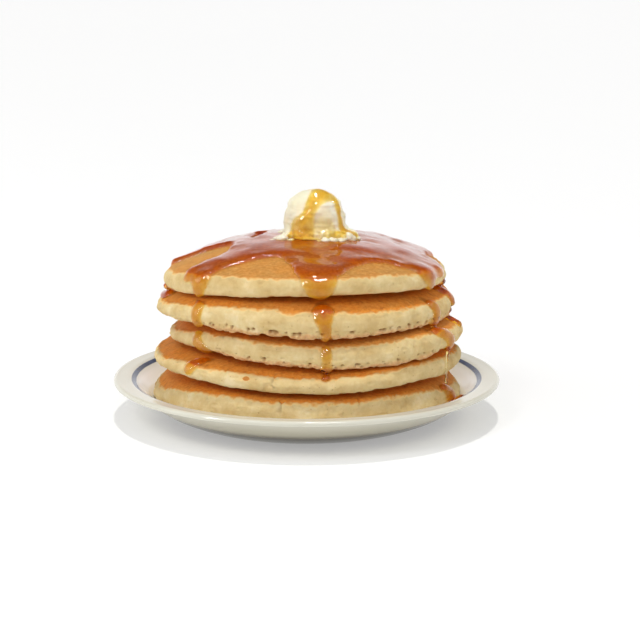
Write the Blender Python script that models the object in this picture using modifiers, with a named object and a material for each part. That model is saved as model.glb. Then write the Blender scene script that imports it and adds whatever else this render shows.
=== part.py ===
"""A stack of five buttermilk pancakes with a scoop of whipped butter, on a round diner plate.

Metres, +Z up. The origin is the centre of the plate's foot, on the table. The side most often
seen is -Y. Heights in the tables are millimetres above the table.
"""

import math

import bmesh
import bpy
from mathutils import Vector

mm = 0.001
gap = 0.3

# Plate: a nine-inch diner plate with a rolled lip, a flat rim, a deep well and a foot ring.
lipRadius = 114.3
lipThickness = 3.6
lipHeight = 22.7
rimInner = 104.0
wellRadius = 84.0
wellHeight = 10.5
footRadius = 70.0
footWidth = 6.0
footRecess = 1.8
plateSteps = 64

# Pancakes, bottom to top. crust and edge are the heights of the crust's rim and of the lower edge
# at the eight compass points, from +X round through +Y.
crustInset = 3.5
edgeInset = 2.0
pancakeSegments = 44
pancakes = [
    {
        "name": "pancake_1",
        "centre": (-0.2, 0.0),
        "radius": 90.9,
        "lobes": (3, 0.5, 0.4),
        "crust": (21.8, 26.0, 28.0, 26.5, 20.5, 29.2, 28.6, 28.5),
        "edge": (12.0, 12.0, 12.0, 12.0, 12.0, 12.0, 12.0, 12.0),
        "edgeInset": 6.5,
    },
    {
        "name": "pancake_2",
        "centre": (0.4, 0.8),
        "radius": 90.6,
        "lobes": (5, 0.4, 1.3),
        "crust": (41.4, 44.0, 44.5, 44.5, 40.8, 44.4, 42.0, 45.1),
        "edge": (32.8, 33.4, 33.4, 34.0, 34.4, 35.3, 33.0, 34.0),
    },
    {
        "name": "pancake_3",
        "centre": (5.5, -0.6),
        "radius": 85.7,
        "lobes": (4, 0.5, 2.1),
        "crust": (56.5, 60.0, 61.0, 60.0, 54.0, 62.0, 59.0, 61.0),
        "edge": (48.5, 48.2, 48.5, 50.0, 48.8, 51.2, 47.6, 47.6),
    },
    {
        "name": "pancake_4",
        "centre": (-0.9, 0.5),
        "radius": 86.8,
        "lobes": (3, 0.6, 5.0),
        "crust": (75.3, 78.0, 79.5, 77.0, 71.2, 78.2, 79.5, 77.2),
        "edge": (64.2, 66.0, 66.5, 66.0, 64.2, 66.7, 64.9, 64.9),
    },
    {
        "name": "pancake_5",
        "centre": (-0.8, 0.0),
        "radius": 82.7,
        "lobes": (4, 0.4, 0.2),
        "crust": (90.5, 93.5, 93.0, 90.0, 88.8, 94.8, 97.3, 95.8),
        "edge": (82.0, 84.0, 84.5, 82.5, 79.8, 82.8, 86.8, 85.0),
    },
]

# Where one piece rests on the next: height at the centre, and the drop per square millimetre away
# from it along X and Y. The first is the well's floor and the last is the domed top of the stack.
rests = [
    (wellHeight, 0.0, 0.0),
    (32.6, 0.00002, 0.00002),
    (47.4, 0.00002, 0.00002),
    (64.5, 0.0001, 0.00002),
    (86.0, 0.0007, 0.0001),
]
topHeight = 106.5
crustRoll = 5.0
domeRoll = 2.1
edgeRoll = 7.0

# Fractions of the way out to the edge below, up the side, and back in over the crust.
underFractions = (0.40, 0.75, 0.93)
sideStations = ((0.0, 1.0), (0.2, 0.25), (0.45, 0.0), (0.7, 0.22), (0.88, 0.57), (1.0, 1.0))
overFractions = (0.93, 0.82, 0.62, 0.33)

# Butter: a scoop with a softened foot that spreads to +X.
butterCentre = (4.6, 0.0)
butterRadius = 17.8
butterTop = 134.9
butterPower = 2.65
butterFoot = (26.5, 21.0, 18.5, 18.5, 18.5, 20.5, 19.5, 23.5)
butterLip = 1.6
footFade = 4.0
butterSegments = 28
butterHeights = (0.0, 0.08, 0.2, 0.36, 0.54, 0.7, 0.83, 0.93, 0.985)


def compass(heights, angle):
    """The value at an angle of the smooth wave that passes through eight compass values."""
    total = 0.0
    for order in range(5):
        cosine = sum(h * math.cos(order * k * math.pi / 4) for k, h in enumerate(heights)) / 4
        sine = sum(h * math.sin(order * k * math.pi / 4) for k, h in enumerate(heights)) / 4
        share = 0.5 if order in (0, 4) else 1.0
        total += share * (cosine * math.cos(order * angle) + sine * math.sin(order * angle))
    return total


def restHeight(level, x, y):
    """Height of the surface on which the piece above rest number `level` lies."""
    height, dropX, dropY = rests[level]
    return height - dropX * x * x - dropY * y * y


def crustRadius(cake, angle):
    lobes, depth, phase = cake["lobes"]
    return cake["radius"] - crustInset + depth * math.sin(lobes * angle + phase)


def underRadius(cake, angle):
    return crustRadius(cake, angle) + crustInset - cake.get("edgeInset", edgeInset)


def around(cake, radius, angle):
    x, y = cake["centre"]
    return x + radius * math.cos(angle), y + radius * math.sin(angle)


def overPoint(index, fraction, angle):
    """A point on the crust of a pancake, at a fraction of the way out to its rim."""
    cake = pancakes[index]
    rim = crustRadius(cake, angle)
    x, y = around(cake, rim * fraction, angle)
    crust = compass(cake["crust"], angle)
    if index + 1 == len(pancakes):
        return x, y, topHeight - (topHeight - crust) * fraction**domeRoll
    rimX, rimY = around(cake, rim, angle)
    drop = restHeight(index + 1, rimX, rimY) - gap / 2 - crust
    return x, y, restHeight(index + 1, x, y) - gap / 2 - drop * fraction**crustRoll


def underPoint(index, fraction, angle):
    """A point on the underside of a pancake, at a fraction of the way out to its lower edge."""
    cake = pancakes[index]
    rim = underRadius(cake, angle)
    x, y = around(cake, rim * fraction, angle)
    rimX, rimY = around(cake, rim, angle)
    lift = compass(cake["edge"], angle) - restHeight(index, rimX, rimY) - gap / 2
    return x, y, restHeight(index, x, y) + gap / 2 + lift * fraction**edgeRoll


def sidePoint(index, station, angle):
    """A point up the pale side: how far up, and what share of the inset it draws back."""
    cake = pancakes[index]
    up, back = station
    widest = crustRadius(cake, angle) + crustInset
    inset = crustInset if up > 0.4 else cake.get("edgeInset", edgeInset)
    x, y = around(cake, widest - inset * back, angle)
    low = compass(cake["edge"], angle)
    high = compass(cake["crust"], angle)
    return x, y, low + (high - low) * up


def stackTop(x, y):
    """Height of the top pancake's crust under a point."""
    centreX, centreY = pancakes[-1]["centre"]
    angle = math.atan2(y - centreY, x - centreX)
    reach = math.hypot(x - centreX, y - centreY)
    return overPoint(len(pancakes) - 1, reach / crustRadius(pancakes[-1], angle), angle)[2]


def butterPoint(height, fraction, angle):
    """A point on the scoop: share of its height, and share of the radius there."""
    x, y = butterCentre
    body = butterRadius * (1 - height**butterPower) ** (1 / butterPower)
    rise = height * (butterTop - topHeight)
    foot = (compass(butterFoot, angle) - butterRadius) * math.exp(-((rise / footFade) ** 2))
    radius = (body + foot) * fraction
    x += radius * math.cos(angle)
    y += radius * math.sin(angle)
    base = stackTop(x, y) + gap
    return x, y, base + butterLip * (height > 0) + height * (butterTop - base - butterLip)


def wrapSphere(name, segments, rings, place):
    """A UV sphere whose rows are carried one by one to place(row, angle), closed at both poles."""
    shape = bmesh.new()
    bmesh.ops.create_uvsphere(shape, u_segments=segments, v_segments=rings, radius=1.0)
    for point in shape.verts:
        row = round((math.asin(max(-1.0, min(1.0, point.co.z))) / math.pi + 0.5) * rings)
        angle = 0.0 if row in (0, rings) else math.atan2(point.co.y, point.co.x)
        point.co = Vector(place(row, angle)) * mm
    bmesh.ops.recalc_face_normals(shape, faces=shape.faces)
    mesh = bpy.data.meshes.new(name)
    shape.to_mesh(mesh)
    shape.free()
    mesh.shade_smooth()
    return mesh


def pancakeRows(index):
    def place(row, angle):
        if row == 0:
            return underPoint(index, 0.0, 0.0)
        if row <= len(underFractions):
            return underPoint(index, underFractions[row - 1], angle)
        row -= len(underFractions) + 1
        if row < len(sideStations):
            return sidePoint(index, sideStations[row], angle)
        row -= len(sideStations)
        if row < len(overFractions):
            return overPoint(index, overFractions[row], angle)
        return overPoint(index, 0.0, 0.0)

    return place


def butterRows(row, angle):
    if row == 0:
        return butterPoint(0.0, 0.0, 0.0)
    if row == 1:
        return butterPoint(0.0, 0.55, angle)
    row -= 2
    if row < len(butterHeights):
        return butterPoint(butterHeights[row], 1.0, angle)
    return butterPoint(1.0, 0.0, 0.0)


def arc(centreR, centreZ, radius, start, end, count):
    turns = (math.radians(start + (end - start) * i / count) for i in range(count + 1))
    return [(centreR + radius * math.cos(t), centreZ + radius * math.sin(t)) for t in turns]


def plateProfile():
    """The half section at +X, down its outer side and then back inwards over the well."""
    lip = lipThickness / 2
    lipCentre = lipRadius - lip
    outer = arc(lipCentre, lipHeight, lip, 90, -70, 5)
    under = [(rimInner - 1.0, 20.0), (98.0, 16.0), (93.0, 11.0), (86.0, 6.5), (80.0, 3.7), (75.0, 1.8)]
    foot = [(footRadius, 0.0), (footRadius - footWidth, 0.0), (footRadius - footWidth - 1.5, footRecess)]
    slope = [(rimInner, lipHeight + 1.3), (98.7, 21.0), (94.2, 16.2), (89.7, 12.4), (wellRadius, wellHeight)]
    return [(lipCentre, lipHeight + lip)] + outer[1:] + under + foot + [(0.0, footRecess)], slope


def makePlate():
    down, slope = plateProfile()
    profile = [(0.0, wellHeight)] + slope[::-1] + down
    mesh = bpy.data.meshes.new("plate")
    points = [(r * mm, 0.0, z * mm) for r, z in profile]
    mesh.from_pydata(points, [(i, i + 1) for i in range(len(points) - 1)], [])
    plate = bpy.data.objects.new("plate", mesh)
    turn = plate.modifiers.new("turn", "SCREW")
    turn.axis = "Z"
    turn.angle = math.tau
    turn.steps = plateSteps
    turn.render_steps = plateSteps
    turn.use_merge_vertices = True
    turn.merge_threshold = 0.00005
    turn.use_smooth_shade = True
    return plate


def material(name, colour, roughness):
    made = bpy.data.materials.new(name)
    made.use_nodes = True
    shader = made.node_tree.nodes["Principled BSDF"]
    shader.inputs["Base Color"].default_value = (*colour, 1.0)
    shader.inputs["Roughness"].default_value = roughness
    shader.inputs["Metallic"].default_value = 0.0
    return made


def main():
    for old in list(bpy.data.objects):
        bpy.data.objects.remove(old, do_unlink=True)
    stack = bpy.data.collections.new("pancake_stack")
    bpy.context.scene.collection.children.link(stack)
    glaze = material("glazed_china", (0.75, 0.74, 0.65), 0.12)
    crumb = material("pancake", (0.62, 0.36, 0.13), 0.65)
    cream = material("whipped_butter", (0.86, 0.82, 0.62), 0.45)

    plate = makePlate()
    plate.data.materials.append(glaze)
    stack.objects.link(plate)

    rows = len(underFractions) + len(sideStations) + len(overFractions) + 1
    for index, cake in enumerate(pancakes):
        mesh = wrapSphere(cake["name"], pancakeSegments, rows, pancakeRows(index))
        mesh.materials.append(crumb)
        stack.objects.link(bpy.data.objects.new(cake["name"], mesh))

    butter = wrapSphere("butter", butterSegments, len(butterHeights) + 2, butterRows)
    butter.materials.append(cream)
    stack.objects.link(bpy.data.objects.new("butter", butter))


main()
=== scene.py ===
# A stack of five buttermilk pancakes with whipped butter and syrup on a diner plate.
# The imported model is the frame: every piece here stands for one of its nodes, or lies on them.
import math

import bmesh
import bpy
import numpy as np
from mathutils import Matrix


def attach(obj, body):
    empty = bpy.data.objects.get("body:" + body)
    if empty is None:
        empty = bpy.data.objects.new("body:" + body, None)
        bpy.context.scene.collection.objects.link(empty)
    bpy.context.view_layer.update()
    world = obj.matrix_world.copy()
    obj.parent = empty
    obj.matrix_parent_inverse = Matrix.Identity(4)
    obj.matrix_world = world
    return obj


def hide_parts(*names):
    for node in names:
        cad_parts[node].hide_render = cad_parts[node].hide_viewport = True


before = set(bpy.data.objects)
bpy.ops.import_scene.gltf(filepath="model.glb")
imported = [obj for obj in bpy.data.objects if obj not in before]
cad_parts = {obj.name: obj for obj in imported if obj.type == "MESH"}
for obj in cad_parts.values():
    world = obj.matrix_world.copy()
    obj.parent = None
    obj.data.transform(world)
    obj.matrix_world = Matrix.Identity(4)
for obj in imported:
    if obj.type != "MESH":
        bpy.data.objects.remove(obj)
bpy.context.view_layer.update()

import openvdb as vdb
from mathutils import Vector

mm = 0.001
tau = math.tau
scene = bpy.context.scene


def compass(heights, angle):
    # smooth wave through eight values, from +X round through +Y
    total = np.zeros_like(angle)
    for order in range(5):
        share = 0.125 if order in (0, 4) else 0.25
        turn = [order * k * tau / 8 for k in range(8)]
        cosine = sum(h * math.cos(t) for h, t in zip(heights, turn))
        sine = sum(h * math.sin(t) for h, t in zip(heights, turn))
        total = total + share * (cosine * np.cos(order * angle) + sine * np.sin(order * angle))
    return total


def scramble(cells, seed):
    # a fixed pseudo-random value from -1 to 1 for each lattice cell
    x, y, z = (cells[..., i].astype(np.uint64) & np.uint64(0xFFFFFFFF) for i in range(3))
    h = x * np.uint64(374761393) + y * np.uint64(668265263) + z * np.uint64(2246822519)
    h = (h + np.uint64(seed * 974711 + 12345)) & np.uint64(0xFFFFFFFF)
    h = ((h ^ (h >> np.uint64(15))) * np.uint64(2246822519)) & np.uint64(0xFFFFFFFF)
    h = ((h ^ (h >> np.uint64(13))) * np.uint64(3266489917)) & np.uint64(0xFFFFFFFF)
    h = h ^ (h >> np.uint64(16))
    return h.astype(np.float64) / 2147483647.5 - 1.0


def grain(points, size, seed):
    # smooth value noise of points in millimetres; size is one number or one for each axis
    at = points / np.asarray(size, dtype=float)
    cell = np.floor(at)
    part = at - cell
    part = part * part * part * (part * (part * 6 - 15) + 10)
    cell = cell.astype(np.int64)
    total = np.zeros(points.shape[:-1])
    for corner in range(8):
        step = np.array([corner & 1, corner >> 1 & 1, corner >> 2 & 1])
        weight = np.prod(np.where(step, part, 1 - part), axis=-1)
        total += weight * scramble(cell + step, seed)
    return total


def layers(points, size, seed, count=3):
    # several sizes of noise, each half as large and half as strong
    sizes = np.asarray(size, dtype=float)
    return sum(grain(points, sizes / 2**i, seed + 17 * i) / 2**i for i in range(count)) / 1.6


def relief(points, look, seed, count=1):
    # noise from a pair of its size and its depth, with count sizes of it laid over one another
    size, depth = look
    noise = layers(points, size, seed, count) if count > 1 else grain(points, size, seed)
    return noise * depth


def ease(low, high, value):
    part = np.clip((value - low) / (high - low), 0.0, 1.0)
    return part * part * (3 - 2 * part)


def bump(value, centre, width):
    return np.exp(-(((value - centre) / width) ** 2))


def gridNormals(points):
    # outward normals of a grid of rows up a round form
    along = np.roll(points, -1, axis=1) - np.roll(points, 1, axis=1)
    up = np.gradient(points, axis=0)
    normal = np.cross(along, up)
    length = np.linalg.norm(normal, axis=-1, keepdims=True)
    return normal / np.maximum(length, 1e-9)


def roundMesh(name, points):
    # quads between rows of a round form, closed by a fan at each end
    rows, columns = points.shape[:2]
    index = np.arange(rows * columns).reshape(rows, columns)
    after = np.roll(index, -1, axis=1)
    quads = np.stack([index[:-1], after[:-1], after[1:], index[1:]], axis=-1).reshape(-1, 4)
    first, last = rows * columns, rows * columns + 1
    coords = np.vstack([points.reshape(-1, 3), points[0].mean(axis=0), points[-1].mean(axis=0)]) * mm
    faces = quads.tolist()
    faces += [[first, b, a] for a, b in zip(index[0].tolist(), after[0].tolist())]
    faces += [[last, a, b] for a, b in zip(index[-1].tolist(), after[-1].tolist())]
    return newPiece(name, coords, faces)


def newPiece(name, coords, faces):
    mesh = bpy.data.meshes.new(name)
    mesh.from_pydata(coords.tolist(), [], faces)
    return linkMesh(name, mesh)


def linkMesh(name, mesh):
    mesh.shade_smooth()
    made = bpy.data.objects.new(name, mesh)
    scene.collection.objects.link(made)
    return made


def paint(piece, name, values):
    # one number for each point, with the closing points taking the mean of their row
    flat = values.reshape(-1)
    if len(piece.data.vertices) > len(flat):
        flat = np.concatenate([flat, [values[0].mean(), values[-1].mean()]])
    layer = piece.data.attributes.new(name, "FLOAT", "POINT")
    layer.data.foreach_set("value", flat.astype(np.float32))


def triangles(piece):
    mesh = piece.data
    mesh.calc_loop_triangles()
    points = np.empty(len(mesh.vertices) * 3, np.float32)
    mesh.vertices.foreach_get("co", points)
    faces = np.empty(len(mesh.loop_triangles) * 3, np.int32)
    mesh.loop_triangles.foreach_get("vertices", faces)
    return points.reshape(-1, 3) / mm, faces.reshape(-1, 3)


class Flow:
    # one socket of a node tree, which can be written in a sum
    def __init__(self, tree, socket=None):
        self.tree, self.socket = tree, socket

    def node(self, kind, settings=None, sockets=None, out=0):
        made = self.tree.nodes.new(kind)
        for name, value in (settings or {}).items():
            if name == "stops":
                fillRamp(made.color_ramp, value)
            else:
                setattr(made, name, value)
        for name, value in (sockets or {}).items():
            if isinstance(value, Flow):
                self.tree.links.new(value.socket, made.inputs[name])
            else:
                made.inputs[name].default_value = value
        return Flow(self.tree, made.outputs[out])

    def maths(self, operation, first, second):
        return self.node("ShaderNodeMath", {"operation": operation}, {0: first, 1: second})

    def __add__(self, other):
        return self.maths("ADD", self, other)

    def __radd__(self, other):
        return self.maths("ADD", other, self)

    def __sub__(self, other):
        return self.maths("SUBTRACT", self, other)

    def __rsub__(self, other):
        return self.maths("SUBTRACT", other, self)

    def __mul__(self, other):
        return self.maths("MULTIPLY", self, other)

    def __rmul__(self, other):
        return self.maths("MULTIPLY", other, self)

    def clamp(self):
        return self.node("ShaderNodeClamp", {}, {"Value": self})

    def ramp(self, *stops):
        return self.node("ShaderNodeValToRGB", {"stops": stops}, {"Fac": self})

    def step(self, low, high):
        sockets = {"Value": self, "From Min": low, "From Max": high}
        return self.node("ShaderNodeMapRange", {"interpolation_type": "SMOOTHSTEP"}, sockets)

    def blend(self, first, second):
        # self is the share of the second colour
        settings = {"data_type": "RGBA", "clamp_factor": True}
        return self.node("ShaderNodeMix", settings, {0: self, 6: first, 7: second}, 2)

    def noise(self, place, scale, detail=3.0, rough=0.55):
        sockets = {"Vector": place, "Scale": scale, "Detail": detail, "Roughness": rough}
        return self.node("ShaderNodeTexNoise", {}, sockets)

    def pores(self, place, scale):
        sockets = {"Vector": place, "Scale": scale}
        return self.node("ShaderNodeTexVoronoi", {}, sockets)

    def attribute(self, name):
        return self.node("ShaderNodeAttribute", {"attribute_name": name}, {}, 2)

    def place(self):
        return self.node("ShaderNodeTexCoord", {}, {}, 3)


def fillRamp(ramp, stops):
    while len(ramp.elements) < len(stops):
        ramp.elements.new(0.5)
    for element, (position, colour) in zip(ramp.elements, stops):
        element.position = position
        element.color = tint(colour)


def tint(colour):
    # a screen colour from 0 to 255 as the linear colour the shader takes
    linear = [((c / 255 + 0.055) / 1.055) ** 2.4 if c > 10 else c / 255 / 12.92 for c in colour]
    return (*linear, 1.0)


def newMaterial(name):
    made = bpy.data.materials.new(name)
    made.use_nodes = True
    tree = made.node_tree
    shader = tree.nodes["Principled BSDF"]
    return made, Flow(tree), shader


def finishShader(flow, shader, sockets):
    for name, value in sockets.items():
        if isinstance(value, Flow):
            flow.tree.links.new(value.socket, shader.inputs[name])
        else:
            shader.inputs[name].default_value = value


stack = {
    "gap": 0.3,
    "crustInset": 3.5,
    "edgeInset": 3.6,
    "crustRoll": 8.0,
    "domeRoll": 2.1,
    "edgeRoll": 7.0,
    "topHeight": 106.5,
    # height at the middle and drop along X and Y of each surface that a pancake lies on
    "rests": [
        (10.5, 0.0, 0.0),
        (32.6, 0.00002, 0.00002),
        (47.4, 0.00002, 0.00002),
        (64.5, 0.0001, 0.00002),
        (86.0, 0.0007, 0.0001),
    ],
    "columns": 680,
    "sideRows": 44,
    # size and depth in mm of what roughens the sides and the crusts
    "lumps": ((15, 15, 8), 0.95),
    "creases": ((5.5, 5.5, 9), 0.42),
    "crustLumps": ((9, 9, 9), 0.16),
    "skin": (2.4, 2.4, 2.0),
    "skinDepth": 0.16,
    "dimples": (3.2, 3.2, 2.4),
    "dimpleDepth": 0.45,
    # the crumbly ledge over the lower edge, with the holes above it
    "ledgeHeight": 4.0,
    "ledgeDepth": 1.15,
    "ledgeCrumbs": ((2.2, 2.2, 1.6), 0.9),
    "holes": (1.8, 1.8, 1.4),
    "holeDepth": 1.2,
    "pitLift": 1.6,
    # how the line between crust and side wanders, and how the crust's brown varies
    "wander": ((10, 10, 6), 1.5),
    "smallWander": ((1.8, 1.8, 1.6), 0.6),
    "patches": ((26, 26, 26), 0.22),
    "smallPatches": ((7, 7, 7), 0.16),
}

# crust and edge: heights of the crust's rim and the lower edge at eight compass points
# lobes: number, depth and phase of the waves round the rim
# nicks: turn in degrees, width, depth and length of each crack down from the rim
# pits: turn, height (pitLift comes on top) and radius of each hollow over the ledge
# spots: turn, height over the rim and radius of each baked spot
# fringe: where the crumbly ledge starts and ends, in degrees; brown: how far the crust's colour goes from
# the light tan towards the deeper orange
pancakes = [
    {
        "node": "pancake_1",
        "centre": (-0.2, 0.0),
        "radius": 90.9,
        "lobes": (3, 0.5, 0.4),
        "crust": (21.8, 26.0, 28.0, 26.5, 20.5, 29.2, 28.6, 28.5),
        "edge": (12.0, 12.0, 12.0, 12.0, 12.0, 12.0, 12.0, 12.0),
        "edgeInset": 6.5,
        "nicks": [
            (261.0, 1.3, 1.8, 9.0), (290.0, 1.1, 1.5, 5.0), (232.0, 1.8, 0.8, 9.0),
            (305.0, 1.2, 0.9, 6.0),
        ],
        "brown": 0.8,
        "seed": 11,
    },
    {
        "node": "pancake_2",
        "centre": (0.4, 0.8),
        "radius": 90.6,
        "lobes": (5, 0.4, 1.3),
        "crust": (41.4, 44.0, 44.5, 44.5, 40.8, 44.4, 42.0, 45.1),
        "edge": (32.8, 33.4, 33.4, 34.0, 34.4, 35.3, 33.0, 34.0),
        "nicks": [(257.5, 1.1, 1.6, 9.0), (238.0, 2.4, 1.0, 8.0), (281.0, 0.8, 0.7, 3.0)],
        "spots": [(247.5, -3.6, 2.6)],
        "brown": 0.85,
        "seed": 23,
    },
    {
        "node": "pancake_3",
        "centre": (5.5, -0.6),
        "radius": 85.7,
        "lobes": (4, 0.5, 2.1),
        "crust": (56.5, 60.0, 61.0, 60.0, 54.0, 62.0, 59.0, 61.0),
        "edge": (48.5, 48.2, 48.5, 50.0, 48.8, 51.2, 47.6, 47.6),
        "fringe": (229.0, 322.0),
        "pits": [
            (250.1, 3.0, 1.5), (244.0, 2.6, 0.8), (258.0, 2.4, 0.8), (285.0, 2.4, 0.7),
            (303.0, 2.6, 0.8),
        ],
        "nicks": [(231.0, 2.2, 0.8, 8.0), (297.0, 0.9, 0.6, 3.0), (303.0, 0.9, 0.6, 3.0)],
        "brown": 0.6,
        "seed": 37,
    },
    {
        "node": "pancake_4",
        "centre": (-0.9, 0.5),
        "radius": 86.8,
        "lobes": (3, 0.6, 5.0),
        "crust": (75.3, 78.0, 79.5, 77.0, 71.2, 78.2, 79.5, 77.2),
        "edge": (64.2, 66.0, 66.5, 66.0, 64.2, 66.7, 64.9, 64.9),
        "fringe": (228.0, 325.0),
        "pits": [
            (233.0, 2.0, 1.2), (241.9, 2.8, 1.1), (250.5, 3.0, 1.2), (257.2, 2.8, 1.4),
            (263.0, 2.4, 0.8), (308.0, 2.4, 0.8),
        ],
        "nicks": [(300.0, 1.4, 0.7, 4.0), (239.0, 1.0, 0.5, 5.0)],
        "brown": 0.85,
        "seed": 53,
    },
    {
        "node": "pancake_5",
        "centre": (-0.8, 0.0),
        "radius": 82.7,
        "lobes": (4, 0.4, 0.2),
        "crust": (90.5, 93.5, 93.0, 90.0, 88.8, 94.8, 97.3, 95.8),
        "edge": (82.0, 84.0, 84.5, 82.5, 79.8, 82.8, 86.8, 85.0),
        "nicks": [(243.0, 1.0, 0.9, 4.0), (296.0, 1.6, 0.5, 5.0)],
        "brown": 0.1,
        "seed": 71,
    },
]


def restHeight(level, x, y):
    height, dropX, dropY = stack["rests"][level]
    return height - dropX * x * x - dropY * y * y


def crustRadius(cake, angle):
    lobes, depth, phase = cake["lobes"]
    return cake["radius"] - stack["crustInset"] + depth * np.sin(lobes * angle + phase)


def around(cake, radius, angle):
    x, y = cake["centre"]
    return x + radius * np.cos(angle), y + radius * np.sin(angle)


def overHeight(index, fraction, angle):
    # the crust's height at a fraction of the way out to its rim
    cake = pancakes[index]
    rim = crustRadius(cake, angle)
    crust = compass(cake["crust"], angle)
    if index + 1 == len(pancakes):
        return stack["topHeight"] - (stack["topHeight"] - crust) * fraction ** stack["domeRoll"]
    x, y = around(cake, rim * fraction, angle)
    rimX, rimY = around(cake, rim, angle)
    drop = restHeight(index + 1, rimX, rimY) - stack["gap"] / 2 - crust
    return restHeight(index + 1, x, y) - stack["gap"] / 2 - drop * fraction ** stack["crustRoll"]


def underHeight(index, fraction, angle):
    cake = pancakes[index]
    rim = crustRadius(cake, angle) + stack["crustInset"] - cake.get("edgeInset", stack["edgeInset"])
    x, y = around(cake, rim * fraction, angle)
    rimX, rimY = around(cake, rim, angle)
    lift = compass(cake["edge"], angle) - restHeight(index, rimX, rimY) - stack["gap"] / 2
    return restHeight(index, x, y) + stack["gap"] / 2 + lift * fraction ** stack["edgeRoll"]


def stackTop(x, y):
    # height of the top pancake's crust
    cake = pancakes[-1]
    angle = np.arctan2(y - cake["centre"][1], x - cake["centre"][0])
    reach = np.hypot(x - cake["centre"][0], y - cake["centre"][1])
    return overHeight(len(pancakes) - 1, reach / crustRadius(cake, angle), angle)


def pancakeGrid(index):
    # rows from the middle of the underside, round the side and back to the middle of the crust
    cake = pancakes[index]
    angle = np.linspace(0, tau, stack["columns"], endpoint=False)[None, :]
    edgeInset = cake.get("edgeInset", stack["edgeInset"])
    rim = crustRadius(cake, angle)
    widest = rim + stack["crustInset"]

    under = np.array([0.3, 0.6, 0.78, 0.88, 0.93, 0.96, 0.98])[:, None]
    x, y = around(cake, (widest - edgeInset) * under, angle)
    parts = [np.stack([x, y, underHeight(index, under + 0 * angle, angle)], axis=-1)]

    up = np.linspace(0, 1, stack["sideRows"])[:, None]
    low, high = compass(cake["edge"], angle), compass(cake["crust"], angle)
    below = edgeInset * (1 - np.sqrt(1 - np.clip(1 - up / 0.36, 0, 1) ** 2))
    above = stack["crustInset"] * np.clip((up - 0.45) / 0.55, 0, 1) ** 2.0
    x, y = around(cake, widest - below - above, angle)
    parts.append(np.stack([x, y, low + (high - low) * up], axis=-1))

    last = index + 1 == len(pancakes)
    inner = np.linspace(0.62, 0.05, 24) if last else np.array([0.6, 0.45, 0.3, 0.15])
    over = np.concatenate([np.linspace(0.99, 0.65, 30), inner])[:, None]
    x, y = around(cake, rim * over, angle)
    parts.append(np.stack([x, y, overHeight(index, over + 0 * angle, angle)], axis=-1))
    starts = (len(under), len(under) + stack["sideRows"] - 1)
    return np.concatenate(parts, axis=0), angle, starts


def smoothRows(points, rounds=3):
    # softens the turn from the side to the crust without moving the far rows
    for _ in range(rounds):
        points[1:-1] = points[1:-1] * 0.5 + (points[:-2] + points[2:]) * 0.25
    return points


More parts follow.
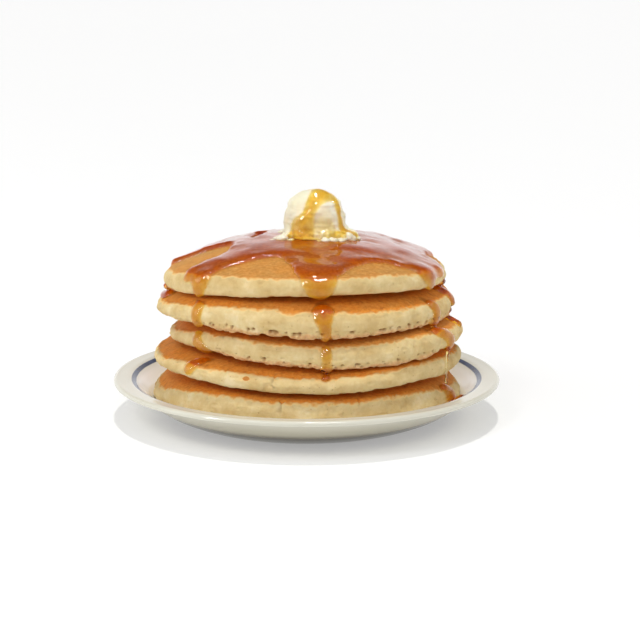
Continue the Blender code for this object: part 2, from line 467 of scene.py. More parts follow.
def makePancake(index):
    cake = pancakes[index]
    seed = cake["seed"]
    points, angle, (edgeRow, crustRow) = pancakeGrid(index)
    points = smoothRows(points)
    normal = gridNormals(points)
    run = np.linalg.norm(np.diff(points, axis=0), axis=-1)
    run = np.concatenate([np.zeros((1, run.shape[1])), np.cumsum(run, axis=0)], axis=0)
    pastCrust = run - run[crustRow]  # mm over the rim, positive on the crust
    aboveEdge = run - run[edgeRow]  # mm up from the lower edge
    side = ease(-1.5, 1.0, aboveEdge) * ease(0.5, -2.0, pastCrust)
    turn = np.degrees(angle) % 360 + 0 * run

    lumps = relief(points, stack["lumps"], seed, 2) + relief(points, stack["creases"], seed + 3, 2)
    skin = layers(points, stack["skin"], seed + 5, 2)
    dimples = ease(0.25, 0.7, grain(points, stack["dimples"], seed + 6))
    rise = side * (lumps + stack["skinDepth"] * skin - stack["dimpleDepth"] * dimples)
    over = ease(-1.0, 1.5, pastCrust)
    rise += over * (relief(points, stack["crustLumps"], seed + 7, 2) + 0.05 * skin)
    for where, width, depth, length in cake["nicks"]:
        lean = (turn - where + 1.2 * grain(points, 3.0, seed + 9)) * math.radians(cake["radius"])
        crack = depth * bump(lean, 0, width * 0.55) * ease(-length, -length + 2.5, pastCrust)
        rise -= crack * ease(3, 0, pastCrust)

    start, end = cake.get("fringe", (0.0, 0.0))
    window = ease(start - 5, start + 5, turn) * ease(end + 5, end - 5, turn)
    loose = ease(0.05, 0.5, grain(points, (30, 30, 400), seed + 13)) * (end > 0)
    fringe = np.maximum(window, loose) * ease(-0.9, -0.3, grain(points, (6, 6, 400), seed + 14))
    ledgeTop = stack["ledgeHeight"] + grain(points, (5, 5, 50), seed + 15)
    ledge = fringe * ease(ledgeTop, ledgeTop - 0.7, aboveEdge) * ease(-2.5, -0.5, aboveEdge)
    rise += ledge * (stack["ledgeDepth"] + relief(points, stack["ledgeCrumbs"], seed + 19, 2))
    gaps = ease(0.35, 0.65, grain(points, stack["holes"], seed + 21))
    holes = fringe * bump(aboveEdge, ledgeTop + 0.2, 1.1) * gaps
    for where, height, width in cake.get("pits", ()):
        across = (turn - where) * math.radians(cake["radius"])
        off = np.hypot(across, aboveEdge - height - stack["pitLift"]) + 0.3 * skin
        holes = np.maximum(holes, ease(width, width * 0.4, off))
    rise -= stack["holeDepth"] * holes
    points = points + normal * rise[..., None]

    wander = relief(points, stack["wander"], seed + 25, 3)
    wander += relief(points, stack["smallWander"], seed + 27)
    # the pits and holes get painted shade; the baked spots add the crust's own brown
    pitShadeAndSpots, spotted = holes, 0 * holes
    for where, height, width in cake.get("spots", ()):
        across = (turn - where) * math.radians(cake["radius"])
        off = np.hypot(across, 1.6 * (pastCrust - height))
        pitShadeAndSpots = np.maximum(pitShadeAndSpots, 0.6 * ease(width, width * 0.6, off))
        spotted = np.maximum(spotted, ease(width, width * 0.7, off))
    baked = ease(-3.4, 1.0, pastCrust + 1.3 * wander)
    toast = ease(-4.5, 1.0, pastCrust + 2.2 * wander) * 0.3
    under = ease(0.5, -1.2, aboveEdge + 0.5 * wander)
    piece = roundMesh(cake["node"] + "_baked", points)
    paint(piece, "bake", np.maximum.reduce([baked, toast, spotted, under * 0.85]))
    paint(piece, "fringe", ledge)
    paint(piece, "hole", np.clip(pitShadeAndSpots, 0, 1))
    patches = relief(points, stack["patches"], seed + 29, 2)
    patches += relief(points, stack["smallPatches"], seed + 31, 2)
    paint(piece, "brown", np.clip(cake["brown"] + patches, 0, 1))
    paint(piece, "side", side)
    return piece


def pancakeMaterial():
    made, flow, shader = newMaterial("bakedPancake")
    place = flow.place()
    bake = flow.attribute("bake")
    fringe = flow.attribute("fringe")
    hole = flow.attribute("hole")
    side = flow.attribute("side")

    brown = flow.attribute("brown")
    cloud = flow.noise(place, 70.0, 4.0)
    fine = flow.noise(place, 480.0, 4.0, 0.65)
    freckle = flow.noise(place, 1300.0, 2.0, 0.6)
    pale = (cloud * 0.8 + fine * 0.2).ramp(
        (0.3, (198, 165, 108)), (0.43, (212, 184, 128)), (0.56, (222, 198, 145)), (0.7, (233, 214, 170))
    )
    light = fine.ramp((0.3, (180, 122, 59)), (0.5, (196, 140, 70)), (0.7, (212, 161, 91)))
    dark = fine.ramp((0.3, (208, 118, 38)), (0.5, (226, 138, 46)), (0.7, (234, 154, 58)))
    crust = (brown + (cloud - 0.5) * 0.8).clamp().blend(light, dark)
    scorched = flow.noise(place, 190.0, 4.0, 0.6).step(0.55, 0.72) * 0.45 * (0.4 + brown * 0.6)
    crust = scorched.blend(crust, tint((150, 78, 28)))
    level = (bake + (fine - 0.5) * 0.5 * bake.step(0.02, 0.3)).clamp()
    golden = level.ramp(
        (0.0, (232, 208, 155)), (0.3, (229, 193, 128)), (0.6, (218, 160, 88)), (1.0, (204, 126, 54))
    )
    colour = level.step(0.05, 0.3).blend(pale, golden)
    colour = level.step(0.55, 0.95).blend(colour, crust)
    ledgeColour = fine.ramp((0.3, (196, 142, 92)), (0.7, (230, 188, 138)))
    colour = (fringe * 0.85).clamp().blend(colour, ledgeColour)
    shadedPores = flow.pores(place, 330.0).step(0.15, 0.05) * flow.noise(place, 110.0).step(0.46, 0.58) * side
    # painted shade darkens the small pores on the sides
    colour = (shadedPores * 0.5).clamp().blend(colour, tint((160, 118, 66)))
    # painted shade in the pits and holes over the ledge, and the baked spots' own brown
    colour = (hole * 0.9).clamp().blend(colour, tint((150, 104, 60)))
    speck = freckle.step(0.6, 0.7) * level.step(0.5, 1.0) * 0.3
    colour = speck.blend(colour, tint((156, 84, 36)))
    # darker amber along the syrup's edges, partly soaked-in syrup and partly painted shade
    colour = (flow.attribute("soaked") * (0.12 + level * 0.52)).clamp().blend(colour, tint((150, 86, 20)))

    soft = flow.pores(place, 150.0) * side
    height = (fine * 0.5 + freckle * 0.3) * (1 - level * 0.45) + cloud * 0.5 + soft * 0.8 - shadedPores * 0.7
    normal = flow.node("ShaderNodeBump", {}, {"Strength": 0.75, "Distance": 0.0009, "Height": height})
    finishShader(
        flow,
        shader,
        {
            "Base Color": colour,
            "Roughness": (0.85 - level * 0.12 + (fine - 0.5) * 0.2).clamp(),
            "Normal": normal,
            "Subsurface Weight": 0.2,
            "Subsurface Radius": (1.0, 0.6, 0.3),
            "Subsurface Scale": 0.002,
            "Specular IOR Level": 0.12,
        },
    )
    return made


butter = {
    "centre": (4.6, 0.0),
    "radius": 17.8,
    "top": 134.2,
    "power": 2.65,
    "foot": (26.5, 21.0, 18.5, 18.5, 18.5, 20.5, 19.5, 23.5),
    "lip": 1.6,
    "fade": 4.0,
    "rows": 120,
    "columns": 220,
    "seed": 91,
    # size and depth in mm of the scoop's marks, and of the rags round its foot
    "bands": ((30, 30, 2.6), 0.3),
    "fineBands": ((14, 14, 1.3), 0.12),
    "lumps": ((11, 11, 8), 1.3),
    "rags": ((4.5, 4.5, 3.5), 3.0),
    "fineRags": ((1.8, 1.8, 1.8), 0.8),
    # crumbs round the foot as (x, y, size, flatness)
    "curds": [
        (-13.5, -16.0, 3.4, 0.8), (-17.0, -12.5, 2.6, 0.7), (-9.0, -19.0, 2.2, 0.7),
        (-19.5, -15.0, 1.5, 0.7), (11.0, -20.0, 2.6, 0.75), (15.5, -19.5, 3.0, 0.8),
        (19.5, -17.0, 2.4, 0.8), (7.0, -21.5, 1.4, 0.7), (24.5, -12.5, 3.2, 1.0),
        (29.0, -8.0, 2.6, 0.9), (-14.0, 10.0, 2.8, 0.8), (2.0, 21.0, 2.4, 0.8),
        (18.0, 18.0, 3.0, 0.8), (27.0, 4.0, 2.2, 0.8),
    ],
}


def butterGrid():
    angle = np.linspace(0, tau, butter["columns"], endpoint=False)[None, :]
    height = np.sin(np.linspace(0, 1, butter["rows"])[:, None] * tau / 4 * 0.985)
    body = butter["radius"] * (1 - height ** butter["power"]) ** (1 / butter["power"])
    rise = height * (butter["top"] - stack["topHeight"])
    spread = (compass(butter["foot"], angle) - butter["radius"]) * np.exp(-((rise / butter["fade"]) ** 2))
    radius = body + spread
    x = butter["centre"][0] + radius * np.cos(angle)
    y = butter["centre"][1] + radius * np.sin(angle)
    base = stackTop(x, y) + stack["gap"]
    z = base + butter["lip"] + height * (butter["top"] - base - butter["lip"])
    body = np.stack([x, y, z], axis=-1)
    first = body[:1].copy()
    first[..., 2] -= butter["lip"]
    inner = np.array([0.3, 0.6, 0.85])[:, None, None]
    middle = np.array([*butter["centre"], 0.0])
    foot = middle + (first - middle) * inner
    foot[..., 2] = stackTop(foot[..., 0], foot[..., 1]) + stack["gap"]
    return np.concatenate([foot, first, body], axis=0), len(foot) + 1


def makeButter():
    seed = butter["seed"]
    points, bodyRow = butterGrid()
    normal = gridNormals(points)
    above = points[..., 2] - stack["topHeight"]
    body = ease(0.0, 2.5, above) * ease(29.5, 26.0, above)
    bands = relief(points, butter["bands"], seed) + relief(points, butter["fineBands"], seed + 1)
    lumps = relief(points, butter["lumps"], seed + 2, 3)
    rags = relief(points, butter["rags"], seed + 4, 3) + relief(points, butter["fineRags"], seed + 5)
    rise = body * (bands + lumps) + bump(above, 1.5, 4.0) * rags * ease(-1.0, 1.0, above)
    points = points + normal * rise[..., None] * (np.arange(len(points)) >= bodyRow)[:, None, None]
    return roundMesh("butterScoop", points)


def makeCurds():
    # loose crumbs of butter round the scoop's foot, as one mesh
    shell = bmesh.new()
    for number, (x, y, size, squash) in enumerate(butter["curds"]):
        ball = bmesh.ops.create_icosphere(shell, subdivisions=4, radius=1.0)["verts"]
        unit = np.array([vert.co for vert in ball])
        swell = 1 + 0.55 * layers(unit * 4 + number * 9, (4.2, 4.2, 4.2), 301 + number, 3)
        centre = np.array([x, y, stackTop(np.array(x), np.array(y)) + size * squash * 0.45 + 0.7])
        placed = (centre + unit * swell[:, None] * size * np.array([1, 1, squash])) * mm
        for vert, spot in zip(ball, placed):
            vert.co = spot
    mesh = bpy.data.meshes.new("butterCurds")
    shell.to_mesh(mesh)
    shell.free()
    return linkMesh("butterCurds", mesh)


def butterMaterial():
    made, flow, shader = newMaterial("whippedButter")
    place = flow.place()
    cloud = flow.noise(place, 90.0, 4.0)
    fine = flow.noise(place, 700.0, 3.0, 0.6)
    colour = cloud.ramp((0.3, (230, 222, 188)), (0.55, (240, 234, 206)), (0.75, (247, 243, 224)))
    colour = (flow.attribute("soaked") * 0.14).clamp().blend(colour, tint((236, 186, 100)))
    height = cloud * 0.5 + fine * 0.25
    normal = flow.node("ShaderNodeBump", {}, {"Strength": 0.35, "Distance": 0.0006, "Height": height})
    finishShader(
        flow,
        shader,
        {
            "Base Color": colour,
            "Roughness": (0.42 + (fine - 0.5) * 0.2).clamp(),
            "Normal": normal,
            "Subsurface Weight": 0.35,
            "Subsurface Radius": (1.0, 0.8, 0.5),
            "Subsurface Scale": 0.004,
            "Specular IOR Level": 0.4,
        },
    )
    return made


plate = {
    # half section as (radius, height), from the middle of the well over the rim to the foot
    "outline": [
        (0.0, 10.5), (84.0, 10.5), (89.7, 12.4), (94.2, 16.2), (98.7, 21.0), (104.0, 24.0),
        (110.5, 24.2), (112.5, 24.5), (113.8, 23.9), (114.3, 22.7), (113.8, 21.5), (112.5, 20.9),
        (103.0, 20.0), (98.0, 16.0), (93.0, 11.0), (86.0, 6.5), (80.0, 3.7), (75.0, 1.8),
        (71.0, 0.5), (69.2, 0.0), (64.8, 0.0), (63.2, 0.6), (62.0, 1.8), (0.0, 1.8),
    ],
    "rounds": 2,
    "steps": 288,
    "ring": (100.9, 103.7),
    # radii between which the well's painted light (a lighter glaze) comes in, and heights over which the
    # painted shade under the rim deepens
    "well": (102.0, 97.0),
    "under": (21.5, 5.0),
}


def roundedOutline(corners, rounds):
    # Chaikin corner cutting of an open outline, which keeps its two ends
    points = np.array(corners)
    for _ in range(rounds):
        first = points[:-1] * 0.78 + points[1:] * 0.22
        second = points[:-1] * 0.22 + points[1:] * 0.78
        inner = np.stack([first, second], axis=1).reshape(-1, 2)
        points = np.vstack([points[:1], inner[1:-1], points[-1:]])
    return points


def makePlate():
    outline = roundedOutline(plate["outline"], plate["rounds"])[1:-1][::-1]
    angle = np.linspace(0, tau, plate["steps"], endpoint=False)
    r, z = outline[:, :1], outline[:, 1:]
    points = np.stack([r * np.cos(angle), r * np.sin(angle), z + 0 * angle], axis=-1)
    piece = roundMesh("dinerPlate", points)
    upper = np.arange(len(r))[:, None] > np.argmax(r) + 0 * angle
    # painted light in the well, and painted shade under the rim that is darkest by the foot
    paint(piece, "well", upper * ease(*plate["well"], r + 0 * angle))
    paint(piece, "under", ~upper * ease(*plate["under"], z + 0 * angle))
    return piece


def plateMaterial():
    made, flow, shader = newMaterial("glazedChina")
    place = flow.place()
    plan = {0: place, 1: (1 / mm, 1 / mm, 0.0)}
    flat = flow.node("ShaderNodeVectorMath", {"operation": "MULTIPLY"}, plan)
    reach = flow.node("ShaderNodeVectorMath", {"operation": "LENGTH"}, {0: flat}, 1)
    height = flow.node("ShaderNodeSeparateXYZ", {}, {0: place}, 2)
    inner, outer = plate["ring"]
    wave = (flow.noise(place, 30.0, 2.0) - 0.5) * 0.9
    band = (reach + wave).step(inner - 0.25, inner + 0.35)
    band = band * (reach + wave * 0.4).step(outer + 0.3, outer - 0.3)
    band = band * height.step(0.020, 0.0215)  # on the upper side only
    cloud = flow.noise(place, 18.0, 3.0)
    glazeAndPaintedShading = cloud.ramp((0.3, (212, 209, 193)), (0.7, (217, 214, 199)))
    # painted light: the well's glaze is made lighter than the rim's
    glazeAndPaintedShading = flow.attribute("well").blend(glazeAndPaintedShading, tint((248, 248, 243)))
    under = flow.attribute("under")
    # painted shade under the rim, and a painted contact shadow by the foot
    glazeAndPaintedShading = (under * 0.9).clamp().blend(glazeAndPaintedShading, tint((164, 156, 130)))
    glazeAndPaintedShading = (under.step(0.7, 1.0) * 0.9).blend(glazeAndPaintedShading, tint((66, 58, 42)))
    ink = flow.noise(place, 240.0, 3.0).ramp((0.35, (14, 30, 74)), (0.7, (30, 54, 102)))
    colour = (band * 0.93).blend(glazeAndPaintedShading, ink)
    fine = flow.noise(place, 600.0, 2.0)
    ripple = cloud + fine * 0.1
    normal = flow.node("ShaderNodeBump", {}, {"Strength": 0.06, "Distance": 0.0004, "Height": ripple})
    finishShader(
        flow,
        shader,
        {
            "Base Color": colour,
            "Roughness": (0.16 + (cloud - 0.5) * 0.08).clamp(),
            "Normal": normal,
            "Specular IOR Level": 0.3,
            "Coat Weight": 0.15,
            "Coat Roughness": 0.06,
        },
    )
    return made


syrup = {
    # the block in which its surface is worked out, in mm
    "corner": (-94.0, -94.0, 14.0),
    "span": (188.0, 188.0, 125.0),
    "voxel": 0.5,
    "halo": 8.0,  # voxels from a surface within which its distance is worked out
    "cap": 2.0,  # greatest distance kept
    "inset": 0.4,  # how far the syrup reaches into what it lies on
    "thrift": 0.3,  # how freely flat parts take larger faces
    "pool": 2.5,  # depth of the pool
    "poolFloor": 84.0,  # height below which the pool isn't looked for
    "edge": 1.8,  # how far in from its outline the pool gets its full depth
    "swirl": ((14.0, 14.0, 14.0), 0.22),
    "fineSwirl": ((5.0, 5.0, 5.0), 0.12),
    "amber": (0.93, 0.762, 0.03, 1.0),
    "density": 800.0,
    # plan outline of the pool on the top crust, anticlockwise from the right
    "outline": [
        (79, -24), (78, -10), (70, 0), (72, 16), (76, 30), (66, 42), (52, 46), (40, 56), (26, 62),
        (12, 74), (-2, 76), (-12, 64), (-26, 58), (-40, 52), (-50, 58), (-60, 56), (-62, 44),
        (-62, 28), (-70, 22), (-80, 22), (-80, 14), (-68, 9), (-54, 4), (-43, -7), (-44, -16),
        (-49, -29), (-58, -37), (-68, -44), (-70, -48), (-65, -56), (-58, -60), (-52, -58.5),
        (-48, -55), (-43, -53.5), (-37, -52), (-26, -48), (-17, -47.4), (-13, -50.5), (-10.5, -57),
        (-8.0, -66), (-5.4, -73), (-2.5, -79), (6.5, -82.5), (15, -79), (20, -73), (24, -66),
        (28.5, -60.5), (33, -55), (38.5, -50), (44, -47.7), (50, -48.4), (56, -48.3), (61, -46.5),
        (64, -49), (70, -46.5), (75, -39),
    ],
    "hole": [(-31, -1), (-27, 8), (-24, 22), (-25, 34), (-30, 30), (-33, 12)],
    # streams over the sides: points down the route as (x, y, z, half width), and the depth of the bead
    "streams": {
        "leftTop": (2.0, [
            (-47, -40, 101, 5), (-57, -52, 97.5, 8), (-60.8, -56.6, 94.4, 8.6),
            (-61.6, -57.6, 90, 6.4), (-62.2, -57.0, 85.5, 4.8), (-61.8, -56.2, 80.5, 3.0),
        ]),
        "leftFourth": (2.0, [
            (-60.5, -58, 82, 3.4), (-62.3, -60.6, 79, 5.2), (-62.8, -61.6, 73, 4.4),
            (-62.0, -61.0, 66.0, 4.0),
        ]),
        "leftThird": (1.9, [
            (-61.5, -52, 64, 3), (-63.3, -51.7, 60.6, 4.2), (-63.2, -51.8, 56.4, 4.2),
            (-60.3, -54.6, 52.5, 4.4), (-57.0, -57.2, 49.3, 4.0),
        ]),
        "leftSecond": (2.1, [
            (-56, -57, 48.8, 3.6), (-59.5, -58.5, 48.0, 4.2), (-63, -60, 46, 4.8),
            (-66.0, -60.8, 43.4, 5.0), (-67.0, -60.6, 42.2, 4.6),
        ]),
        "centreTop": (2.2, [
            (5, -58, 104, 7), (6, -74, 100.5, 11.0), (6.8, -81.0, 97.4, 10.6),
            (7.4, -82.8, 92.8, 8.6), (8, -82.9, 88.8, 6.0), (8.4, -82, 84.0, 3.8),
        ]),
        "centreFourth": (2.2, [
            (9, -80, 85, 5), (9.4, -84.5, 81.5, 7), (9.6, -86.6, 77, 6), (10.2, -86.6, 71, 3.8),
            (11, -86, 65, 2.6),
        ]),
        "centreThird": (1.9, [
            (11, -82, 65, 3), (11, -85.6, 61, 3.3), (11, -86, 54, 3.2), (11, -85, 47.5, 2.9),
        ]),
        "centreSecond": (2.0, [(11, -82, 47.6, 3.3), (10.8, -86, 46.2, 3.8), (10.7, -88.6, 44.0, 3.8)]),
        "rightTop": (1.9, [
            (56, -34, 101, 6), (65, -43, 97.6, 7.4), (69.8, -43.8, 94, 7.4), (72, -40.8, 89, 6.0),
            (72.3, -40, 84, 4.3), (71.5, -41, 80.3, 3.2),
        ]),
        "rightFourth": (2.0, [
            (69, -45, 82, 4.5), (72, -46.5, 79.5, 5), (75.2, -43.4, 75, 5),
            (75.4, -42.5, 69.5, 4.4), (73.5, -44.5, 64.5, 4),
        ]),
        "rightThird": (2.1, [
            (71, -51, 65, 4.5), (75, -48.5, 63.5, 5), (80.5, -42.5, 59, 5.2),
            (83.0, -37.5, 53, 4.6), (81.5, -39, 46.5, 3.6),
        ]),
        "rightFirst": (2.4, [
            (78, -42, 32.0, 3.5), (81, -40, 28.5, 5), (84.5, -36, 23, 6), (85, -35, 18.0, 6.5),
            (87, -33, 14.5, 5),
        ]),
        "leftDrop": (2.6, [
            (-78.5, -16, 78.0, 3.0), (-82.0, -12, 77.2, 4.2), (-84.6, -6, 75.5, 4.2),
            (-85.0, 0, 73.5, 3.0),
        ]),
        "rightBand": (2.6, [
            (74, -14, 81, 3.6), (79.0, -13, 79.5, 5.0), (83.0, -11, 77.0, 5.0),
            (85.6, -9, 72.5, 4.0), (86.2, -8, 69.0, 2.4),
        ]),
        "rightTongue": (2.4, [
            (78, -6, 63.0, 3.2), (83.0, -8, 62.6, 4.2), (88.0, -9, 60.8, 4.2),
            (90.2, -9, 58.0, 3.4),
        ]),
        "rightFilm": (0.9, [(73, -33, 96.5, 4), (75.3, -33.5, 92, 4.2), (74, -37.5, 86.5, 2.6)]),
        "butterTop": (1.7, [
            (10, 2.0, 134.2, 8), (9, -6.0, 133.2, 7.0), (4.0, -12.5, 129.0, 4.6),
            (0.8, -16.4, 123.0, 3.6), (-1.4, -17.8, 118.0, 6.0), (-4.6, -18.5, 113.0, 9.5),
            (-6, -20.5, 108.5, 11.0),
        ]),
        "butterRight": (1.4, [
            (13.0, -2.0, 132.5, 4.5), (18, -7.0, 128.0, 2.6), (20.4, -9.5, 121.0, 2.2),
            (21.3, -9.5, 114.0, 3.4), (25.0, -9.5, 110.0, 4.5), (29, -9.0, 106.5, 4.0),
        ]),
        "butterLeft": (1.2, [
            (-12.4, -6.0, 117.5, 0.9), (-14.8, -6.5, 113.0, 1.5), (-18.5, -8.5, 109.0, 1.8),
            (-21.0, -10.0, 105.5, 2.6),
        ]),
        "butterMoat": (1.7, [
            (-12.0, -19.0, 106.0, 5.0), (-1.0, -23.0, 105.8, 6.0), (8.0, -23.0, 105.8, 5.0),
            (15.0, -20.0, 105.8, 4.0),
        ]),
        "butterFront": (1.2, [
            (10.0, -19.4, 112.2, 2.6), (16.0, -18.0, 111.6, 2.2), (21.0, -14.0, 111.0, 3.0),
        ]),
        "butterFilm": (0.3, [(4, -16.5, 119.0, 6.0), (10, -17.5, 114.0, 8.0), (13, -19, 110.0, 8.0)]),
        "butterBack": (1.7, [
            (6.0, 4.0, 134.0, 6.0), (7.5, 13.0, 129.5, 4.2), (8.0, 17.6, 121.0, 3.2),
            (8.5, 19.0, 112.0, 4.4), (9.0, 22.0, 107.5, 7.0),
        ]),
        "backRight": (2.6, [
            (68, 38, 92, 8), (69, 43, 89, 6.5), (69, 44.5, 84, 4.2), (71, 46, 79.5, 4.8),
            (72, 48, 72, 3.6), (72, 46, 66, 3),
        ]),
        "backLeft": (2.6, [
            (-54, 56, 89, 8), (-57.5, 59, 87, 7), (-58.5, 60, 82, 4.6), (-60, 60, 78, 5),
            (-61, 61.5, 72, 3.8), (-60, 60, 66, 3.2),
        ]),
        "backMiddle": (2.7, [
            (5, 70, 96, 8), (5.5, 79, 92, 7.5), (6, 82.4, 87, 5), (6.5, 83, 82, 5.5),
            (7, 86.5, 76, 4),
        ]),
    },
    # a thread that hangs free
    "strands": [
        [
            (81.0, -41.0, 48.5, 1.4), (80.6, -42.6, 46.0, 0.95), (80.4, -43.4, 42.0, 0.75),
            (80.2, -43.8, 34.0, 0.7), (80.2, -43.4, 29.5, 1.1),
        ],
    ],
}


def closedCurve(corners, count=6):
    # Catmull-Rom through a closed run of plan points
    points = np.array(corners, dtype=float)
    before, after, later = np.roll(points, 1, 0), np.roll(points, -1, 0), np.roll(points, -2, 0)
    made = []
    for t in np.arange(count) / count:
        square = (2 * before - 5 * points + 4 * after - later) * t**2
        cube = (3 * points - before - 3 * after + later) * t**3
        made.append(0.5 * (2 * points + (after - before) * t + square + cube))
    return np.stack(made, axis=1).reshape(-1, 2)


def insideDistance(outline, x, y):
    # distance to a closed plan outline, positive inside
    nearest = np.full(x.shape, 1e9)
    inside = np.zeros(x.shape, bool)
    for (ax, ay), (bx, by) in zip(outline, np.roll(outline, -1, 0)):
        dx, dy = bx - ax, by - ay
        t = np.clip(((x - ax) * dx + (y - ay) * dy) / (dx * dx + dy * dy + 1e-9), 0, 1)
        nearest = np.minimum(nearest, (x - ax - t * dx) ** 2 + (y - ay - t * dy) ** 2)
        crosses = (ay > y) != (by > y)
        with np.errstate(divide="ignore", invalid="ignore"):
            inside ^= crosses & (x < ax + (y - ay) / (by - ay if by != ay else 1e-9) * dx)
    return np.where(inside, 1, -1) * np.sqrt(nearest)


def bead(inside, width):
    # rises from the outline like a drop's edge to 1, and falls below 0 outside
    part = np.clip(inside / width, 0, 1)
    return np.where(inside > 0, np.sqrt(1 - (1 - part) ** 2), inside / width)


def solidField(piece, low, shape, place):
    # distance from a piece's surface at each voxel, negative inside
    points, faces = triangles(piece)
    grid = vdb.FloatGrid.createLevelSetFromPolygons(
        (points - low).astype(np.float32),
        triangles=faces.astype(np.uint32),
        transform=place,
        halfWidth=syrup["halo"],
    )
    field = np.full(shape, syrup["halo"] * syrup["voxel"], np.float32)
    grid.copyToArray(field, ijk=(0, 0, 0))
    return field


def makeSyrup(cakes, scoop, dish):
    voxel = syrup["voxel"]
    low = np.array(syrup["corner"])
    shape = np.ceil(np.array(syrup["span"]) / voxel).astype(int)
    place = vdb.createLinearTransform(voxelSize=voxel)
    nearCakes = np.minimum.reduce([solidField(piece, low, shape, place) for piece in cakes])
    nearScoop = solidField(scoop, low, shape, place)
    nearDish = solidField(dish, low, shape, place)
    axes = [low[i] + voxel * np.arange(shape[i]) for i in range(3)]

    # deep is how thick the syrup should lie at each voxel: first on the cakes, then on the butter
    deep = np.full(shape, -1.0, np.float32)
    x, y = np.meshgrid(axes[0], axes[1], indexing="ij")
    plan = np.stack([x, y, 0 * x], axis=-1)
    reach = insideDistance(closedCurve(syrup["outline"]), x, y) + 0.9 * grain(plan, 6.0, 5)
    hole = insideDistance(closedCurve(syrup["hole"]), x, y)
    reach = np.minimum(reach, -hole)
    swirl = relief(plan, syrup["swirl"], 9) + relief(plan, syrup["fineSwirl"], 10)
    pool = syrup["pool"] * (1 + swirl) * bead(reach, syrup["edge"])
    floor = int((syrup["poolFloor"] - low[2]) / voxel)
    onTop = ease(-4.5, -1.5, axes[2][None, None, floor:] - stackTop(x, y)[..., None])
    deep[:, :, floor:] = np.where(onTop > 0, pool[..., None] * onTop - 1.5 * (1 - onTop), -1.5)
    addStreams(deep, axes, [name for name in syrup["streams"] if not name.startswith("butter")])
    field = np.minimum(nearCakes, nearDish) - deep
    deep = np.full(shape, -1.0, np.float32)
    addStreams(deep, axes, [name for name in syrup["streams"] if name.startswith("butter")])
    solid = np.minimum(nearCakes, nearScoop)
    field = np.minimum(field, solid - deep)
    solid = np.minimum(solid, nearDish)
    for route in syrup["strands"]:
        addStrand(field, axes, np.array(route, dtype=float))
    for axis in range(3):
        field = (np.roll(field, 1, axis) + np.roll(field, -1, axis)) * 0.25 + field * 0.5
    skin = field
    field = np.maximum(field, -(solid + syrup["inset"]))
    field = np.clip(field, -syrup["cap"], syrup["cap"]).astype(np.float32)
    grid = vdb.FloatGrid(syrup["cap"])
    grid.copyFromArray(field)
    grid.transform = place
    points, corners, quads = grid.convertToPolygons(isovalue=0.0, adaptivity=syrup["thrift"])
    coords = (np.asarray(points) + low) * mm
    made = newPiece("syrup", coords, np.asarray(corners).tolist() + np.asarray(quads).tolist())
    for piece in (*cakes, scoop, dish):
        points = triangles(piece)[0]
        near = sample(skin, (points - low) / voxel)
        # a band along the syrup's edges: syrup soaked into the surface, with painted shade for the
        # darkening at a bead's edge
        paint(piece, "soaked", ease(0.55, 0.1, near) * ease(-1.0, -0.4, near))
    return made


def sample(field, at):
    # the field between voxels, by weighting the eight round each place
    at = np.clip(at, 0, np.array(field.shape) - 1.001)
    cell = np.floor(at).astype(int)
    part = at - cell
    total = np.zeros(len(at))
    for corner in range(8):
        step = np.array([corner & 1, corner >> 1 & 1, corner >> 2 & 1])
        total += np.prod(np.where(step, part, 1 - part), axis=1) * field[tuple((cell + step).T)]
    return total


def nearRoute(axes, a, b, wide):
    # the block of voxels around one leg of a route, with the distance from it and how far along they are
    spans = []
    for i in range(3):
        start = int(np.searchsorted(axes[i], min(a[i], b[i]) - wide))
        stop = int(np.searchsorted(axes[i], max(a[i], b[i]) + wide))
        spans.append(slice(start, stop))
    block = np.stack(np.meshgrid(*(axes[i][spans[i]] for i in range(3)), indexing="ij"), axis=-1)
    leg = b[:3] - a[:3]
    t = np.clip((block - a[:3]) @ leg / (leg @ leg), 0, 1)
    away = np.linalg.norm(block - a[:3] - t[..., None] * leg, axis=-1)
    return tuple(spans), away, t


def addStreams(deep, axes, names):
    for name in names:
        depth, route = syrup["streams"][name]
        addStream(deep, axes, depth, np.array(route, dtype=float))


def addStream(deep, axes, depth, route):
    # raises the wanted depth of syrup near a route of (x, y, z, half width), slowly at its start
    for place, (a, b) in enumerate(zip(route[:-1], route[1:])):
        spans, away, t = nearRoute(axes, a, b, max(a[3], b[3]) + 2.0)
        half = a[3] + (b[3] - a[3]) * t
        want = np.where(away < half, np.sqrt(np.clip(1 - (away / half) ** 2, 0, 1)), (half - away) / 2)
        want *= depth * ease(-0.6, 1.2, place + t)
        np.maximum(deep[spans], want.astype(np.float32), out=deep[spans])


def addStrand(field, axes, route):
    # a thread of syrup that hangs free along a route of (x, y, z, half width)
    for a, b in zip(route[:-1], route[1:]):
        spans, away, t = nearRoute(axes, a, b, 3.0)
        field[spans] = np.minimum(field[spans], away - (a[3] + (b[3] - a[3]) * t))


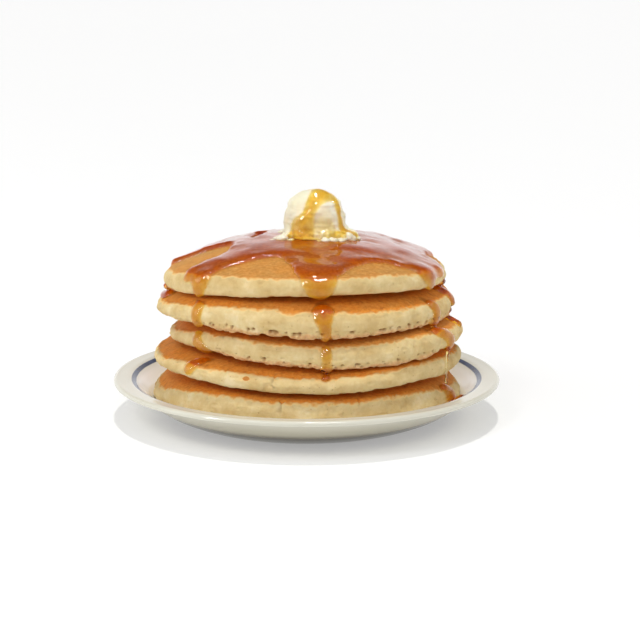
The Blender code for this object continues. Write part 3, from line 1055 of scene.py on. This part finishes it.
def syrupMaterial():
    made, flow, shader = newMaterial("goldenSyrup")
    place = flow.place()
    ripple = flow.noise(place, 140.0, 2.0)
    normal = flow.node("ShaderNodeBump", {}, {"Strength": 0.15, "Distance": 0.0006, "Height": ripple})
    finishShader(
        flow,
        shader,
        {
            "Base Color": (1.0, 1.0, 1.0, 1.0),
            "Roughness": 0.015,
            "IOR": 1.45,
            "Transmission Weight": 1.0,
            "Normal": normal,
        },
    )
    # lamps and the light between surfaces pass straight through, so that the cake under it is lit
    lamp = flow.node("ShaderNodeLightPath", {}, {}, 1)
    spread = flow.node("ShaderNodeLightPath", {}, {}, 2)
    clear = flow.node("ShaderNodeBsdfTransparent")
    gloss = Flow(flow.tree, shader.outputs[0])
    straight = lamp.maths("MAXIMUM", lamp, spread)
    mixed = flow.node("ShaderNodeMixShader", {}, {0: straight, 1: gloss, 2: clear})
    absorbed = {"Color": syrup["amber"], "Density": syrup["density"]}
    amber = flow.node("ShaderNodeVolumeAbsorption", {}, absorbed)
    output = flow.tree.nodes["Material Output"]
    flow.tree.links.new(mixed.socket, output.inputs["Surface"])
    flow.tree.links.new(amber.socket, output.inputs["Volume"])
    return made


studio = {
    # brightness of the sky low down and high up, behind the stack and in front of it
    "behind": (1.12, 0.13),
    "front": (0.46, 0.94),
    "skyRise": (0.12, 0.6),
    "skyTurn": (-0.35, 0.3),
    "skyTint": (0.985, 0.995, 1.02),
    "key": 1.22,
    "keyTint": (1.02, 1.0, 0.95),
    "keyTilt": (-1.0, 1.0),
    "keySpread": 3.5,
    # each panel: name, place, size, power, and whether only glossy surfaces see it
    "panels": [
        ("softPanel", (-0.75, -1.2, 1.3), (0.4, 0.4), 5.0, False),
        ("leftPanel", (-1.7, -0.3, 0.45), (0.7, 0.7), 3.2, False),
        ("leftStrip", (-1.4, -0.95, 0.75), (0.22, 0.6), 17.0, True),
        ("topStrip", (0.3, -0.9, 1.7), (0.45, 0.25), 20.0, True),
    ],
    "panelAim": (0.0, 0.0, 0.06),
    "floor": (0.66, 0.66, 0.66, 1.0),
    "floorGlow": 0.33,
    "floorSize": 40.0,
    "cameraPlace": (0.0, -1.240, 0.318),
    "cameraDrop": 13.426,
    "lens": 120.58,
    "shift": (0.0209, 0.09),
}


def skyColour(upward, side):
    low, high = ((*(level * c for c in studio["skyTint"]), 1.0) for level in studio[side])
    return upward.step(*studio["skyRise"]).blend(low, high)


def makeStudio():
    world = bpy.data.worlds.new("studio")
    scene.world = world
    world.use_nodes = True
    sky = Flow(world.node_tree)
    forward = sky.node("ShaderNodeSeparateXYZ", {}, {0: sky.node("ShaderNodeTexCoord")}, 1)
    upward = sky.node("ShaderNodeSeparateXYZ", {}, {0: sky.node("ShaderNodeTexCoord")}, 2)
    front = skyColour(upward, "front")
    behind = skyColour(upward, "behind")
    shade = forward.step(*studio["skyTurn"]).blend(front, behind)
    world.node_tree.links.new(shade.socket, world.node_tree.nodes["Background"].inputs["Color"])
    lamp = bpy.data.lights.new("overhead", "SUN")
    lamp.angle = math.radians(studio["keySpread"])
    lamp.energy = studio["key"]
    lamp.color = studio["keyTint"]
    key = bpy.data.objects.new("overhead", lamp)
    key.rotation_euler = (math.radians(studio["keyTilt"][0]), math.radians(studio["keyTilt"][1]), 0.0)
    scene.collection.objects.link(key)

    for name, place, size, energy, glossOnly in studio["panels"]:
        panel = bpy.data.lights.new(name, "AREA")
        panel.shape = "RECTANGLE"
        panel.size, panel.size_y = size
        panel.energy = energy
        soft = bpy.data.objects.new(name, panel)
        soft.location = place
        away = Vector(place) - Vector(studio["panelAim"])
        soft.rotation_euler = away.to_track_quat("Z", "Y").to_euler()
        soft.visible_diffuse = not glossOnly
        scene.collection.objects.link(soft)

    bpy.ops.mesh.primitive_plane_add(size=studio["floorSize"])
    floor = bpy.context.object
    floor.name = "studioFloor"
    made, flow, shader = newMaterial("paleFloor")
    glow = {"Emission Color": (1.0, 1.0, 1.0, 1.0), "Emission Strength": studio["floorGlow"]}
    finishShader(flow, shader, {"Base Color": studio["floor"], "Roughness": 0.9, **glow})
    floor.data.materials.append(made)

    lens = bpy.data.cameras.new("camera")
    lens.lens = studio["lens"]
    lens.sensor_width = 36.0
    lens.shift_x, lens.shift_y = studio["shift"]
    lens.clip_end = 100.0
    camera = bpy.data.objects.new("camera", lens)
    camera.location = studio["cameraPlace"]
    camera.rotation_euler = (math.radians(90 - studio["cameraDrop"]), 0.0, 0.0)
    scene.collection.objects.link(camera)
    scene.camera = camera
    scene.view_settings.view_transform = "Standard"


def settle(piece, node, surface):
    # gives a piece its finish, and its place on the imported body
    piece.data.materials.clear()
    piece.data.materials.append(surface)
    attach(piece, "root")
    if node:
        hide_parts(node)


makeStudio()
print("studio ready")
cakeSurface = pancakeMaterial()
cakes = []
for index, cake in enumerate(pancakes):
    piece = makePancake(index)
    settle(piece, cake["node"], cakeSurface)
    cakes.append(piece)
print("pancakes", sum(len(p.data.polygons) for p in cakes))
scoop = makeButter()
butterSurface = butterMaterial()
settle(scoop, "butter", butterSurface)
settle(makeCurds(), None, butterSurface)
print("butter", len(scoop.data.polygons))
dish = makePlate()
settle(dish, "plate", plateMaterial())
print("plate", len(dish.data.polygons))
pour = makeSyrup(cakes, scoop, dish)
settle(pour, None, syrupMaterial())
print("syrup", len(pour.data.polygons))
